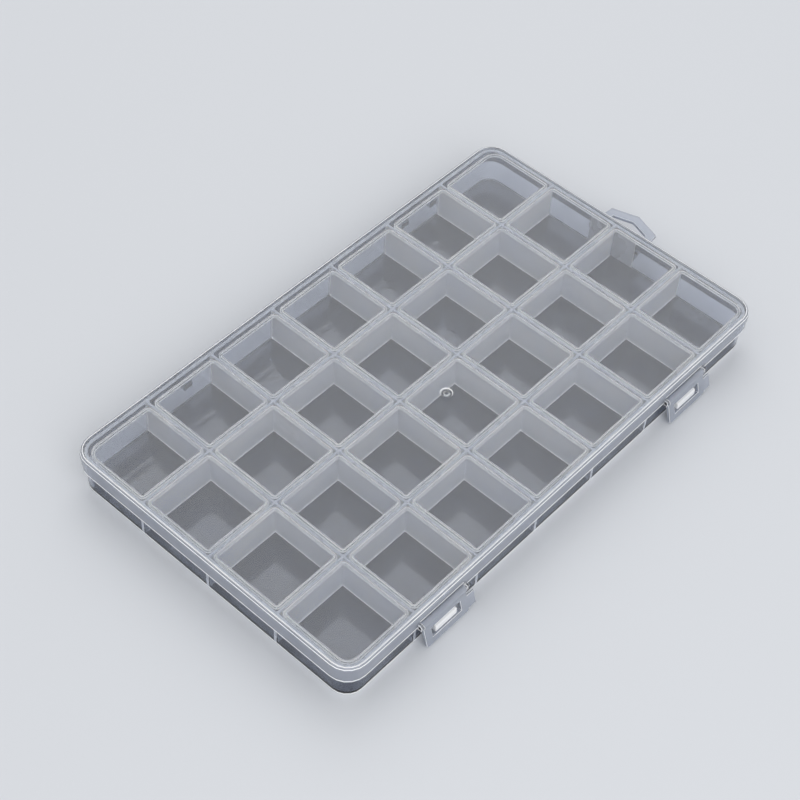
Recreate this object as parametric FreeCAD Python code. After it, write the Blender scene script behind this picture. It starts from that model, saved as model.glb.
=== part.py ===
import FreeCAD, Part
import math
import os

# Flat storage box with a hinged lid: a tray moulded with fixed dividers, a lid that turns on two
# pinned hinges along the back, two snap latches hung on the lid's front edge and a hang tab.
# Millimetres. X runs along the long side, the latches face -Y, the hinges lie along +Y, Z is up.
# The origin is the middle of the closed lid's outline, on the surface that the tray rests on.

# Overall sizes of the closed box
box_length = 223.0
box_width = 132.0
box_height = 18.0
corner_radius = 8.5

# Lid
lid_depth = 8.0
lid_panel = 1.2
lid_skirt = 1.0
rim_step = 0.3
rim_height = 3.2
rim_round = 1.2

# Gaps between lid and tray
skirt_gap = 0.4
top_gap = 0.25

# Tray
tray_wall = 1.2
tray_floor = 1.2
tray_edge_round = 0.6
divider = 1.0
columns = 7
rows = 4

# Frames under the lid, one round the mouth of each compartment
ring_width = 1.2
ring_height = 1.4
ring_gap = 0.3
ring_back_gap = 1.6
ring_corner_radius = 2.0

# Moulding mark on top of the lid
gate_x = -1.6
gate_y = -9.9
gate_radius = 2.4
gate_depth = 0.4
gate_nub_radius = 0.9
gate_nub_drop = 0.1

# Latches
latch_inset = 45.0
latch_length = 21.0
flap_length = 10.2
flap_thickness = 1.2
flap_corner_radius = 1.0
flap_rest_angle = 15.0
roll_radius = 1.4
roll_gap = 0.6
roll_slit = 1.1
bar_radius = 0.7
bar_play = 0.06
bar_rise = 0.6
notch_gap = 0.3
cheek_width = 1.2
cheek_rim = 0.35
cheek_play = 0.25
window_length = 14.4
window_top = 3.2
window_height = 4.3
catch_length = 10.5
catch_height = 3.4
catch_reach = 4.0
catch_gap = 0.6
catch_slope = 0.6
ear_length = 3.6
ear_height = 6.8
ear_thickness = 0.6

# Hinges
hinge_inset = 45.0
hinge_reach = 4.3
barrel_radius = 2.0
pin_radius = 0.9
pin_seat_play = 0.02
pin_running_play = 0.06
tray_knuckle = 4.0
lid_knuckle = 12.0
knuckle_gap = 0.3
web_gap = 0.4
arm_rise = 3.0

# Hang tab
tab_thickness = 1.4
tab_gap = 0.4
tab_reach = 14.7
tab_shoulder = 3.6
tab_root_width = 24.0
tab_end_width = 22.0
tab_band = 2.9
tab_tip_band = 4.0
gusset_reach = 10.4
gusset_drop = 4.0
gusset_width = 2.6
pad_thickness = 0.5
pad_margin = 0.4

# Length by which a cut runs past the solid that it cuts
overrun = 1.0

# How far an edge may leave a level and still lie on it, as a share of the height
level_share = 0.00001

# Heights worked out from the sizes above
skirt_bottom = box_height - lid_depth
panel_under = box_height - lid_panel
tray_top = panel_under - top_gap
ring_bottom = panel_under - ring_height
hinge_height = box_height / 2
bar_height = skirt_bottom + bar_rise

# Half sizes of the nested outlines, from the rim inwards
skirt_inset = rim_step
cavity_inset = skirt_inset + lid_skirt
tray_inset = cavity_inset + skirt_gap
inner_inset = tray_inset + tray_wall
half_length = box_length / 2
half_width = box_width / 2
tray_x = half_length - tray_inset
tray_y = half_width - tray_inset
inner_x = half_length - inner_inset
inner_y = half_width - inner_inset
inner_radius = corner_radius - inner_inset

# Size of one compartment
cell_x = (2 * inner_x - (columns - 1) * divider) / columns
cell_y = (2 * inner_y - (rows - 1) * divider) / rows

# Axes of the latches and the hinges
bar_y = -(tray_y + roll_gap + roll_radius)
hinge_y = tray_y + hinge_reach
latch_x = half_length - latch_inset
hinge_x = half_length - hinge_inset
latch_places = {"left": -latch_x, "right": latch_x}
hinge_places = {"left": -hinge_x, "right": hinge_x}

X_AXIS = FreeCAD.Vector(1, 0, 0)
Y_AXIS = FreeCAD.Vector(0, 1, 0)
Z_AXIS = FreeCAD.Vector(0, 0, 1)


def block(x0, x1, y0, y1, z0, z1):
    """Box between two corners."""
    return Part.makeBox(x1 - x0, y1 - y0, z1 - z0, FreeCAD.Vector(x0, y0, z0))


def rod(radius, x0, x1, y, z):
    """Cylinder along X through the point y, z."""
    return Part.makeCylinder(radius, x1 - x0, FreeCAD.Vector(x0, y, z), X_AXIS)


def side_plate(points, x0, x1):
    """Plate of the given outline in Y and Z, from x0 to x1."""
    corners = [FreeCAD.Vector(x0, y, z) for y, z in points]
    face = Part.Face(Part.makePolygon(corners + corners[:1]))
    return face.extrude(X_AXIS * (x1 - x0))


def flat_plate(points, z0, z1):
    """Plate of the given outline in X and Y, from z0 to z1."""
    corners = [FreeCAD.Vector(x, y, z0) for x, y in points]
    face = Part.Face(Part.makePolygon(corners + corners[:1]))
    return face.extrude(Z_AXIS * (z1 - z0))


def rounded_plate(x0, x1, y0, y1, radii, z0, z1):
    """Plate with rounded corners; the radii go round from the corner at x0, y0 through x1, y0."""
    places = [(x0, y0, 1, 1), (x1, y0, -1, 1), (x1, y1, -1, -1), (x0, y1, 1, -1)]
    arcs = []
    for (x, y, sx, sy), radius in zip(places, radii):
        centre = FreeCAD.Vector(x + sx * radius, y + sy * radius, z0)
        on_x = centre - FreeCAD.Vector(0, sy * radius, 0)
        on_y = centre - FreeCAD.Vector(sx * radius, 0, 0)
        middle = centre - FreeCAD.Vector(sx, sy, 0) * (radius * math.sqrt(0.5))
        ends = (on_y, on_x) if sx == sy else (on_x, on_y)
        arcs.append((ends[0], middle, ends[1]))
    edges = []
    for arc, following in zip(arcs, arcs[1:] + arcs[:1]):
        edges.append(Part.Arc(*arc).toShape())
        edges.append(Part.LineSegment(arc[2], following[0]).toShape())
    return Part.Face(Part.Wire(edges)).extrude(Z_AXIS * (z1 - z0))


def nested_plate(inset, z0, z1):
    """Plate of the box's outline, drawn in all round by the inset."""
    x = half_length - inset
    y = half_width - inset
    return rounded_plate(-x, x, -y, y, [corner_radius - inset] * 4, z0, z1)


def level_edges(shape, z):
    """Edges of a shape that lie flat at one height."""
    slack = level_share * box_height
    return [edge for edge in shape.Edges if all(abs(v.Z - z) < slack for v in edge.Vertexes)]


def cell(column, row):
    """Low and high corners of a compartment in X and Y."""
    x0 = -inner_x + column * (cell_x + divider)
    y0 = -inner_y + row * (cell_y + divider)
    return x0, x0 + cell_x, y0, y0 + cell_y


def tab_front(side):
    """Outline of the hang tab's leg lines, outer or inner, from the tray wall to the tip and back."""
    shoulder = half_length + tab_reach - tab_shoulder
    tip = half_length + tab_reach
    root = tab_root_width / 2
    end = tab_end_width / 2
    if side == "outer":
        return [(tray_x, -root), (shoulder, -end), (tip, 0), (shoulder, end), (tray_x, root)]
    inner_root = root - tab_band
    inner_end = end - tab_band
    inner_shoulder = shoulder - tab_band
    start = tray_x - overrun
    return [(start, -inner_root), (inner_shoulder, -inner_end), (tip - tab_tip_band, 0),
            (inner_shoulder, inner_end), (start, inner_root)]


def make_hang_tab():
    """Flat five-sided loop at the right end, on two gussets under its legs."""
    top = skirt_bottom - tab_gap
    under = top - tab_thickness
    tab = flat_plate(tab_front("outer"), under, top)
    tab = tab.cut(flat_plate(tab_front("inner"), under - overrun, top + overrun))
    profile = [(tray_x, under), (tray_x + gusset_reach, under), (tray_x, under - gusset_drop)]
    for sign in (-1, 1):
        middle = sign * (tab_end_width - tab_band) / 2
        corners = [FreeCAD.Vector(x, middle - gusset_width / 2, z) for x, z in profile]
        face = Part.Face(Part.makePolygon(corners + corners[:1]))
        tab = tab.fuse(face.extrude(Y_AXIS * gusset_width))
    return tab.removeSplitter()


def make_catch(x):
    """Wedge on the tray's front wall that a latch's window drops over."""
    low = bar_height - window_top - window_height + catch_gap
    high = low + catch_height
    front = -(tray_y + catch_reach)
    points = [(-tray_y, low), (front, low), (front, high - catch_slope), (-tray_y, high)]
    return side_plate(points, x - catch_length / 2, x + catch_length / 2)


def make_tray_knuckles(x):
    """Outer pair of knuckles of one hinge, on webs from the tray's back wall, with the pin's seat."""
    knuckles = []
    for sign in (-1, 1):
        near = x + sign * (lid_knuckle / 2 + knuckle_gap)
        far = near + sign * tray_knuckle
        x0, x1 = sorted((near, far))
        web = block(x0, x1, tray_y, hinge_y, hinge_height - barrel_radius, skirt_bottom - web_gap)
        knuckle = rod(barrel_radius, x0, x1, hinge_y, hinge_height).fuse(web)
        seat = rod(pin_radius + pin_seat_play, x0 - overrun, x1 + overrun, hinge_y, hinge_height)
        knuckles.append(knuckle.cut(seat))
    return knuckles


def make_tray_shell():
    """Floor and outer walls, with catches, hinge knuckles and the pad behind the hang tab."""
    outside = nested_plate(tray_inset, 0, tray_top)
    outside = outside.makeFillet(tray_edge_round, level_edges(outside, 0))
    shell = outside.cut(nested_plate(inner_inset, tray_floor, tray_top + overrun))
    extras = [make_catch(x) for x in latch_places.values()]
    for x in hinge_places.values():
        extras += make_tray_knuckles(x)
    pad_half = tab_end_width / 2
    pad_top = ring_bottom - pad_margin
    for y0, y1 in ((-pad_half, -divider / 2), (divider / 2, pad_half)):
        extras.append(block(inner_x - pad_thickness, inner_x, y0, y1, tray_floor, pad_top))
    return shell.fuse(extras).removeSplitter()


def make_long_divider(row):
    """Wall along X in front of the given row, from end wall to end wall."""
    x0, x1, y0, y1 = cell(0, row)
    return block(-inner_x, inner_x, y0 - divider, y0, tray_floor, tray_top)


def make_cross_divider(column):
    """Wall along Y left of the given column, in one length for each row."""
    lengths = []
    for row in range(rows):
        x0, x1, y0, y1 = cell(column, row)
        lengths.append(block(x0 - divider, x0, y0, y1, tray_floor, tray_top))
    return Part.makeCompound(lengths)


def make_ring(column, row):
    """Frame under the lid that stands inside the mouth of one compartment."""
    x0, x1, y0, y1 = cell(column, row)
    back_gap = ring_back_gap if row == rows - 1 else ring_gap
    x0, x1, y0, y1 = x0 + ring_gap, x1 - ring_gap, y0 + ring_gap, y1 - back_gap
    corners = [(0, 0), (columns - 1, 0), (columns - 1, rows - 1), (0, rows - 1)]
    radii = [inner_radius - ring_gap if (column, row) == place else ring_corner_radius for place in corners]
    outside = rounded_plate(x0, x1, y0, y1, radii, ring_bottom, panel_under)
    radii = [max(radius - ring_width, ring_corner_radius - ring_width) for radius in radii]
    w = ring_width
    inside = rounded_plate(x0 + w, x1 - w, y0 + w, y1 - w, radii, ring_bottom - overrun, panel_under + overrun)
    return outside.cut(inside)


def make_latch_bracket(x):
    """Two cheeks at the ends of a notch in the lid's skirt, with the bar that the latch clips on."""
    notch_half = latch_length / 2 + cheek_play
    front = bar_y - bar_radius - cheek_rim
    back = -(half_width - cavity_inset)
    low = bar_height - bar_radius - cheek_rim
    high = bar_height + roll_radius + notch_gap
    pieces = [rod(bar_radius, x - notch_half - cheek_width, x + notch_half + cheek_width, bar_y, bar_height)]
    for sign in (-1, 1):
        x0, x1 = sorted((x + sign * notch_half, x + sign * (notch_half + cheek_width)))
        pieces.append(block(x0, x1, front, back, low, high))
    return pieces


def make_latch_notch(x):
    """Space cut from the lid's skirt for a latch's roll."""
    notch_half = latch_length / 2 + cheek_play
    front = -(half_width + overrun)
    back = -(half_width - cavity_inset - skirt_gap)
    return block(x - notch_half, x + notch_half, front, back, skirt_bottom - overrun,
                 bar_height + roll_radius + notch_gap)


def make_lid_knuckle(x):
    """Middle knuckle of one hinge, on an arm from the lid's back skirt."""
    skirt_y = half_width - skirt_inset
    root = skirt_y - lid_skirt / 2
    high = skirt_bottom + arm_rise
    slant = barrel_radius * math.sqrt(0.5)
    rise = high - hinge_height - slant
    points = [(root, skirt_bottom), (root, high), (hinge_y + slant - rise, high),
              (hinge_y + slant, hinge_height + slant), (hinge_y, hinge_height), (hinge_y - slant, skirt_bottom)]
    x0 = x - lid_knuckle / 2
    x1 = x + lid_knuckle / 2
    return rod(barrel_radius, x0, x1, hinge_y, hinge_height).fuse(side_plate(points, x0, x1))


def make_lid():
    """Panel with a rim and a skirt, frames underneath, latch brackets in front, hinge arms behind."""
    rim = nested_plate(0, box_height - rim_height, box_height)
    rim = rim.makeFillet(rim_round, level_edges(rim, box_height))
    skirt = nested_plate(skirt_inset, skirt_bottom, box_height - rim_height)
    lid = rim.fuse(skirt).cut(nested_plate(cavity_inset, skirt_bottom - overrun, panel_under))
    lid = lid.cut([make_latch_notch(x) for x in latch_places.values()])
    extras = [make_ring(column, row) for column in range(columns) for row in range(rows)]
    for x in latch_places.values():
        extras += make_latch_bracket(x)
    extras += [make_lid_knuckle(x) for x in hinge_places.values()]
    lid = lid.fuse(extras).removeSplitter()
    bores = []
    for x in hinge_places.values():
        bores.append(rod(pin_radius + pin_running_play, x - lid_knuckle, x + lid_knuckle, hinge_y, hinge_height))
    spot = FreeCAD.Vector(gate_x, gate_y, box_height - gate_depth)
    dimple = Part.makeCylinder(gate_radius, gate_depth + overrun, spot)
    nub = Part.makeCylinder(gate_nub_radius, gate_depth - gate_nub_drop, spot)
    return lid.cut(bores).cut(dimple.cut(nub))


def make_latch(x):
    """Flap with a window, a pull ear at its right end and a slit roll that clips on the lid's bar."""
    half = latch_length / 2
    t = flap_thickness / 2
    flap = block(-half, half, -t, t, -flap_length, 0)
    corners = [edge for edge in flap.Edges if edge.BoundBox.YLength > t and edge.BoundBox.ZMax < -t]
    flap = flap.makeFillet(flap_corner_radius, corners)
    ear_top = ear_height - flap_length
    ear_low = flap_corner_radius - flap_length
    ear = block(half - flap_corner_radius, half + ear_length, -t, ear_thickness - t, ear_low, ear_top)
    latch = flap.fuse([ear, rod(roll_radius, -half, half, 0, 0)])
    bore = rod(bar_radius + bar_play, -half - overrun, half + overrun, 0, 0)
    slit = block(-half - overrun, half + overrun, 0, roll_radius + overrun, -roll_slit / 2, roll_slit / 2)
    window = block(-window_length / 2, window_length / 2, -t - overrun, t + overrun,
                   -window_top - window_height, -window_top)
    latch = latch.cut([bore, slit, window]).removeSplitter()
    latch.rotate(FreeCAD.Vector(0, 0, 0), X_AXIS, -flap_rest_angle)
    latch.translate(FreeCAD.Vector(x, bar_y, bar_height))
    return latch


def make_hinge_pin(x):
    """Pin through one hinge, flush with the outer knuckles."""
    half = lid_knuckle / 2 + knuckle_gap + tray_knuckle
    return rod(pin_radius, x - half, x + half, hinge_y, hinge_height)


def main():
    """Make every piece and write one file for each."""
    pieces = {"tray_shell": make_tray_shell(), "hang_tab": make_hang_tab(), "lid": make_lid()}
    for row in range(1, rows):
        pieces[f"long_divider_{row}"] = make_long_divider(row)
    for column in range(1, columns):
        pieces[f"cross_divider_{column}"] = make_cross_divider(column)
    for side, x in latch_places.items():
        pieces[f"latch_{side}"] = make_latch(x)
    for side, x in hinge_places.items():
        pieces[f"hinge_pin_{side}"] = make_hinge_pin(x)
    os.makedirs("parts", exist_ok=True)
    for name, shape in pieces.items():
        shape.exportStep(f"parts/{name}.step")
        print(name, len(shape.Solids), round(shape.Volume), shape.isValid())


main()
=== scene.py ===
import math

import bmesh
import bpy
import numpy as np
from mathutils import Matrix, Vector


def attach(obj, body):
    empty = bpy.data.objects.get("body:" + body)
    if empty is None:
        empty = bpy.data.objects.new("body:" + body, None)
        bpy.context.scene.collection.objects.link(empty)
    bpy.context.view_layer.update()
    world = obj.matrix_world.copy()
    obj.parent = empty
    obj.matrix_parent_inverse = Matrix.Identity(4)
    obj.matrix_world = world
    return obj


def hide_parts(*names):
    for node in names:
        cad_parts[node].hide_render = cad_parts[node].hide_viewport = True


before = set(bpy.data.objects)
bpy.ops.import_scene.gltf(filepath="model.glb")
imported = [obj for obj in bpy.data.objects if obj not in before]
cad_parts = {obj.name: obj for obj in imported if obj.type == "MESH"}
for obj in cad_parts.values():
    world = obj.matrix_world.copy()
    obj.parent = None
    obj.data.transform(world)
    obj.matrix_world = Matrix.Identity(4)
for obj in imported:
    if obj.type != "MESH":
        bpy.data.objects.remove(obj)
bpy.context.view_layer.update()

bl_info = {
    "name": "Compartment Storage Box",
    "version": (1, 0, 0),
    "blender": (4, 5, 0),
    "location": "View3D > Sidebar > Storage Box",
    "description": "Flat clear box with fixed compartments, a hinged lid, two latches and a hang tab",
    "category": "Add Mesh",
}

# One millimetre in metres; the sizes below are written in millimetres
MM = 0.001
# Points closer than this are one point, in metres
MERGE = 0.000002
# How far an added block reaches into the wall that carries it, in metres
ROOT = 0.00005
# Points on each rounded corner of an outline
ARC_POINTS = 6
# Steps across each rounded edge
EDGE_STEPS = 3
# Faces that meet at more than this keep a sharp edge
SHARP_ANGLE = math.radians(40)
# Faces that meet at less than this count as one flat face
FLAT_ANGLE = math.radians(1)
# Points on the barrel of a tray knuckle and of a lid arm, and round a latch bar
KNUCKLE_POINTS, ARM_POINTS, BAR_POINTS = 28, 30, 24
# Steps over the round along the top of the rim
RIM_STEPS = 6
# Turn at which a lid arm leaves its barrel
ARM_TURN = 2.25 * np.pi
# Half width of the step at a latch notch, as a share of a compartment
NOTCH_STEP_SHARE = 0.0004
# Further points on a compartment's side, as shares of it
SIDE_SHARES = [0.12, 0.5, 0.88]
# Longest rounded corner of a softened outline, as a share of its shorter side
SOFT_SHARE = 0.45
# Nodes that the dressed tray stands for
LONG_DIVIDERS = [f"long_divider_{k}" for k in range(1, 4)]
CROSS_DIVIDERS = [f"cross_divider_{k}" for k in range(1, 7)]
TRAY_NODES = ["tray_shell", *LONG_DIVIDERS, *CROSS_DIVIDERS]
# Material places on a mesh: wall, painted highlight on bright edges, compartment floor with its painted shade, outer
# face, and the dividers' tops and ends
WALL, PAINTED_HIGHLIGHT, SHADED_FLOOR, OUTSIDE, RIB = 0, 1, 2, 3, 4
# Distance between clouds in the plastic and between dents of its orange peel, in metres
CLOUD_SIZE, PEEL_SIZE = 0.016, 0.0011
# Depth of the orange peel on the polished lid and elsewhere, in metres
LID_PEEL, PEEL = 0.0000006, 0.000003
# Light bends this much in polypropylene
PLASTIC_IOR = 1.49
# Clear faces that light may pass on its way
LIGHT_BOUNCES = 32
# Nearest thing that the camera sees, in metres
CLIP_START = 0.01
# Rings and points of the paper under the box, and its grain's size and depth, in metres
PAPER_RADII, PAPER_POINTS = (0.0, 0.3, 1.0, 3.0), 96
PAPER_GRAIN, PAPER_DEPTH = 0.002, 0.00002


def linear(hex_colour):
    """Linear red, green and blue of an sRGB hex colour."""
    raw = np.array([int(hex_colour[i:i + 2], 16) / 255 for i in (1, 3, 5)])
    return tuple(np.where(raw <= 0.04045, raw / 12.92, ((raw + 0.055) / 1.055) ** 2.4))


def size_of(label, text, millimetres):
    """Length property with its default in millimetres."""
    return bpy.props.FloatProperty(name=label, description=text, default=millimetres * MM, min=0.0, unit="LENGTH",
                                   precision=5)


def place_of(label, text, place):
    """Place property in metres."""
    return bpy.props.FloatVectorProperty(name=label, description=text, default=place, size=len(place), precision=5,
                                         subtype="TRANSLATION")


def light_of(label, text, strength):
    """Strength of a light."""
    return bpy.props.FloatProperty(name=label, description=text, default=strength, min=0.0)


def colour_of(label, text, hex_colour):
    """Colour property with its default as an sRGB hex value."""
    return bpy.props.FloatVectorProperty(name=label, description=text, default=linear(hex_colour), size=3, min=0.0,
                                         max=1.0, subtype="COLOR")


class BoxSizes(bpy.types.PropertyGroup):
    """Sizes of the closed box, its lid and its tray."""
    box_length: size_of("Length", "Lid from end to end", 223.0)
    box_width: size_of("Width", "Lid from front to back", 132.0)
    box_height: size_of("Height", "Closed box from the table to the top of the lid", 18.0)
    corner_radius: size_of("Corner radius", "Corners of the lid seen from above", 8.5)
    lid_depth: size_of("Lid depth", "Top of the lid to the bottom of its skirt", 8.0)
    lid_panel: size_of("Lid panel", "Thickness of the lid's flat panel", 1.2)
    lid_skirt: size_of("Lid skirt", "Thickness of the lid's skirt", 1.0)
    skirt_round: size_of("Skirt round", "Radius along the skirt's lower edges", 0.4)
    fine_round: size_of("Fine round", "Edges of the rim's step and of the gate", 0.15)
    rim_step: size_of("Rim step", "How far the rim stands out over the skirt", 0.3)
    rim_height: size_of("Rim height", "Height of the rim round the top", 3.2)
    rim_round: size_of("Rim round", "Radius along the top edge of the rim", 1.2)
    skirt_gap: size_of("Skirt gap", "Air between the skirt and the tray", 0.4)
    top_gap: size_of("Top gap", "Air between the dividers and the lid", 0.25)
    tray_wall: size_of("Tray wall", "Thickness of the outer wall", 1.2)
    tray_floor: size_of("Tray floor", "Thickness of the floor", 1.2)
    tray_edge: size_of("Tray edge", "Radius along the bottom edge", 0.6)
    # Band of painted highlight over the lower edges: white stands in for the light that leaves them
    highlight_band: size_of("Bright edge", "Band over the lower edges of tray and skirt that light leaves by", 0.6)
    divider: size_of("Divider", "Thickness of a divider", 1.0)
    ring_width: size_of("Frame width", "Width of the frame under the lid over each compartment", 1.2)
    ring_height: size_of("Frame height", "How far that frame hangs down", 1.4)
    ring_gap: size_of("Frame gap", "Air between frame and compartment wall", 0.3)
    ring_back_gap: size_of("Back frame gap", "The same at the back wall, where the lid swings in", 1.6)
    ring_corner: size_of("Frame corner", "Outer corner radius of a frame", 2.0)
    ring_round: size_of("Frame round", "Radius along a frame's lower edges", 0.5)
    pocket_corner: size_of("Compartment corner", "Upright corner radius in a compartment", 0.5)
    pocket_fillet: size_of("Floor fillet", "Radius between wall and floor of a compartment", 0.4)
    divider_round: size_of("Divider round", "Radius along the top edges of the dividers", 0.25)
    pin_mark: size_of("Ejector mark", "Radius of the round mark in a compartment's floor", 3.2)
    pin_mark_depth: size_of("Ejector mark depth", "How far that mark is pressed in", 0.08)
    gate: place_of("Gate", "Place of the moulding gate on the lid", (-0.0016, -0.0099))
    gate_radius: size_of("Gate radius", "Radius of the dimple round the gate", 2.4)
    gate_depth: size_of("Gate depth", "Depth of that dimple", 0.4)
    gate_nub: size_of("Gate nub", "Radius of the stub left in the dimple", 0.9)
    columns: bpy.props.IntProperty(name="Columns", description="Compartments along the box", default=7, min=1)
    rows: bpy.props.IntProperty(name="Rows", description="Compartments across the box", default=4, min=1)


class FittingSizes(bpy.types.PropertyGroup):
    """Sizes of the latch brackets, catches and hinges; the edge widths are bands of painted highlight."""
    latch_inset: size_of("Latch inset", "End of the box to the middle of a latch", 45.0)
    latch_length: size_of("Latch length", "Length of a latch along the box", 21.0)
    roll_radius: size_of("Roll radius", "Outside of the roll that clips on the bar", 1.4)
    roll_gap: size_of("Roll gap", "Air between the roll and the tray", 0.6)
    bar_radius: size_of("Bar radius", "Bar that the latch turns on", 0.7)
    bar_rise: size_of("Bar rise", "Bar's axis above the bottom of the skirt", 0.6)
    notch_gap: size_of("Notch gap", "Air above the roll", 0.3)
    cheek_width: size_of("Cheek width", "Thickness of the cheeks that hold the bar", 1.2)
    cheek_rim: size_of("Cheek rim", "Plastic round the bar's end", 0.35)
    cheek_play: size_of("Cheek play", "Air between latch and cheek", 0.25)
    cheek_round: size_of("Cheek round", "Corner radius of a cheek", 0.5)
    cheek_edge: size_of("Cheek edge", "Bright edge of a cheek", 0.15)
    latch_edge: size_of("Latch edge", "Bright edge of a latch", 0.2)
    catch_length: size_of("Catch length", "Length of the wedge on the tray", 10.5)
    catch_low: size_of("Catch bottom", "Underside of the wedge above the table", 3.7)
    catch_height: size_of("Catch height", "Height of the wedge", 3.4)
    catch_reach: size_of("Catch reach", "How far the wedge stands out", 4.0)
    catch_slope: size_of("Catch slope", "Height of the wedge's sloped part", 0.6)
    catch_round: size_of("Catch round", "Corner radius of the wedge", 0.3)
    catch_edge: size_of("Catch edge", "Bright edge of the wedge's ends", 0.25)
    hinge_inset: size_of("Hinge inset", "End of the box to the middle of a hinge", 45.0)
    hinge_reach: size_of("Hinge reach", "Tray's back wall to the hinge axis", 4.3)
    barrel_radius: size_of("Barrel radius", "Outside of a hinge knuckle", 2.0)
    pin_radius: size_of("Pin radius", "Radius of a hinge pin", 0.9)
    pin_play: size_of("Pin play", "Air round the pin in the lid's knuckle", 0.06)
    pin_seat_play: size_of("Pin seat play", "Air round the pin in the tray's knuckles", 0.02)
    pin_edge: size_of("Pin edge", "Bright edge of a pin", 0.15)
    tray_knuckle: size_of("Tray knuckle", "Length of each outer knuckle", 4.0)
    lid_knuckle: size_of("Lid knuckle", "Length of the middle knuckle", 12.0)
    knuckle_gap: size_of("Knuckle gap", "Air between knuckles", 0.3)
    knuckle_edge: size_of("Knuckle edge", "Bright edge of a knuckle", 0.2)
    web_gap: size_of("Web gap", "Air between a tray knuckle's web and the lid's skirt", 0.4)
    arm_rise: size_of("Arm rise", "Height of the lid's hinge arm on the skirt", 3.0)
    pad_thickness: size_of("Pad thickness", "Thicker spot of the end wall behind the hang tab", 0.5)
    pad_half: size_of("Pad half width", "Half width of that spot", 11.0)
    pad_top: size_of("Pad top", "Top of that spot above the table", 15.0)
    pad_round: size_of("Pad round", "Corner radius of that spot", 0.4)
    pad_edge: size_of("Pad edge", "Edge of that spot", 0.2)
    tab_edge: size_of("Tab edge", "Bright edge of the hang tab", 0.25)


class BoxColours(bpy.types.PropertyGroup):
    """Colours of the plastic and of the stage."""
    wall_thin: colour_of("Wall, clearer", "Dividers at their clearest", "#EFF3FC")
    wall_milky: colour_of("Wall, milkier", "Dividers at their cloudiest", "#F9FBFF")
    # Compartment floors: the dark blue-grey tint is painted shade that stands in for a dark ground seen through the
    # clear floor
    floor_thin: colour_of("Floor, clearer", "Compartment floors at their clearest", "#A3AAB9")
    floor_milky: colour_of("Floor, milkier", "Compartment floors at their cloudiest", "#B0B6C3")
    outside_thin: colour_of("Outside, clearer", "Skirt, ribs and fittings at their clearest", "#C0C6D3")
    outside_milky: colour_of("Outside, milkier", "Skirt, ribs and fittings at their cloudiest", "#D0D5DF")
    lid_thin: colour_of("Lid, clearer", "Lid at its clearest", "#F9FBFF")
    lid_milky: colour_of("Lid, milkier", "Lid at its cloudiest", "#FDFEFF")
    # Rounded edges: near-white painted highlight for the glints and for the light that leaves the edges
    edge_thin: colour_of("Edge, clearer", "Rounded edges at their greyest", "#F4F6F9")
    edge_milky: colour_of("Edge, milkier", "Rounded edges at their whitest", "#FFFFFF")
    base_thin: colour_of("Base, clearer", "Tray's outer wall at its clearest", "#C2C9D8")
    base_milky: colour_of("Base, milkier", "Tray's outer wall at its cloudiest", "#CDD3E0")
    floor: colour_of("Stage floor", "Paper under the box", "#D3D6DB")
    backdrop: colour_of("Backdrop", "What shows beyond the floor", "#E4E6EA")


class StageSettings(bpy.types.PropertyGroup):
    """Camera and lamps."""
    camera_place: place_of("Camera", "Where the camera stands", (-0.335834, -0.263323, 0.510985))
    camera_aim: place_of("Aim", "Point in the middle of the picture", (-0.009837, 0.004439, 0.009))
    camera_roll: bpy.props.FloatProperty(name="Roll", description="Tilt of the picture", default=math.radians(3.8505),
                                         subtype="ANGLE")
    lens: bpy.props.FloatProperty(name="Lens", description="Focal length on the sensor", default=81.91, unit="CAMERA")
    sensor: bpy.props.FloatProperty(name="Sensor", description="Width of the sensor", default=36.0, unit="CAMERA")
    sky: light_of("Sky", "Strength of the even light from all round", 0.7)
    key: light_of("Key lamp", "Watts of the large soft lamp behind the box", 5.0)
    key_place: place_of("Key place", "Where the key lamp hangs", (0.75, 0.75, 1.05))
    fill: light_of("Fill lamp", "Watts of the large soft lamp on the camera's side", 8.0)
    fill_place: place_of("Fill place", "Where the fill lamp hangs", (-0.5, -0.95, 0.95))
    lamp_size: size_of("Lamp size", "Side of each lamp", 1200.0)


def grid(along, across):
    """Every pair of two rows of values, as two flat arrays."""
    return [values.ravel() for values in np.meshgrid(along, across, indexing="ij")]


def circle(turn):
    """Points of the unit circle at the given turns."""
    return np.stack([np.cos(turn), np.sin(turn)], axis=-1)


def unit(vectors):
    """The same directions with length one."""
    return vectors / np.linalg.norm(vectors, axis=-1, keepdims=True)


def both_ends(inset):
    """Places along X that lie this far from the left and the right end of the box."""
    place = bpy.context.scene.box_sizes.box_length / 2 - inset
    return -place, place


def edge_fractions():
    """Shares along one side of a compartment at which an outline has points; the pairs are the latch notch's ends."""
    fittings = bpy.context.scene.fitting_sizes
    lines = divider_lines()[0]
    half = fittings.latch_length / 2 + fittings.cheek_play
    middle = both_ends(fittings.latch_inset)[0]
    ends = (middle + np.array([-half, half]) - lines[1]) / (lines[2] - lines[1])
    ends = np.concatenate([ends, 1 - ends])
    steps = np.array([-NOTCH_STEP_SHARE, NOTCH_STEP_SHARE])
    return np.sort(np.concatenate([(ends[:, None] + steps).ravel(), SIDE_SHARES]))


def nested_inset(name):
    """How far one of the nested outlines lies inside the rim."""
    sizes = bpy.context.scene.box_sizes
    skirt = sizes.rim_step
    cavity = skirt + sizes.lid_skirt
    tray = cavity + sizes.skirt_gap
    return {"rim": 0.0, "skirt": skirt, "cavity": cavity, "tray": tray, "inner": tray + sizes.tray_wall}[name]


def compartments():
    """Low and high X and Y of every compartment, four arrays with one value for each."""
    sizes = bpy.context.scene.box_sizes
    inner = nested_inset("inner")
    low = []
    high = []
    for whole, count in ((sizes.box_length, sizes.columns), (sizes.box_width, sizes.rows)):
        start = inner - whole / 2
        cell = (-2 * start - (count - 1) * sizes.divider) / count
        low.append(start + np.arange(count) * (cell + sizes.divider))
        high.append(low[-1] + cell)
    x0, y0 = grid(*low)
    x1, y1 = grid(*high)
    return x0, x1, y0, y1


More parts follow.
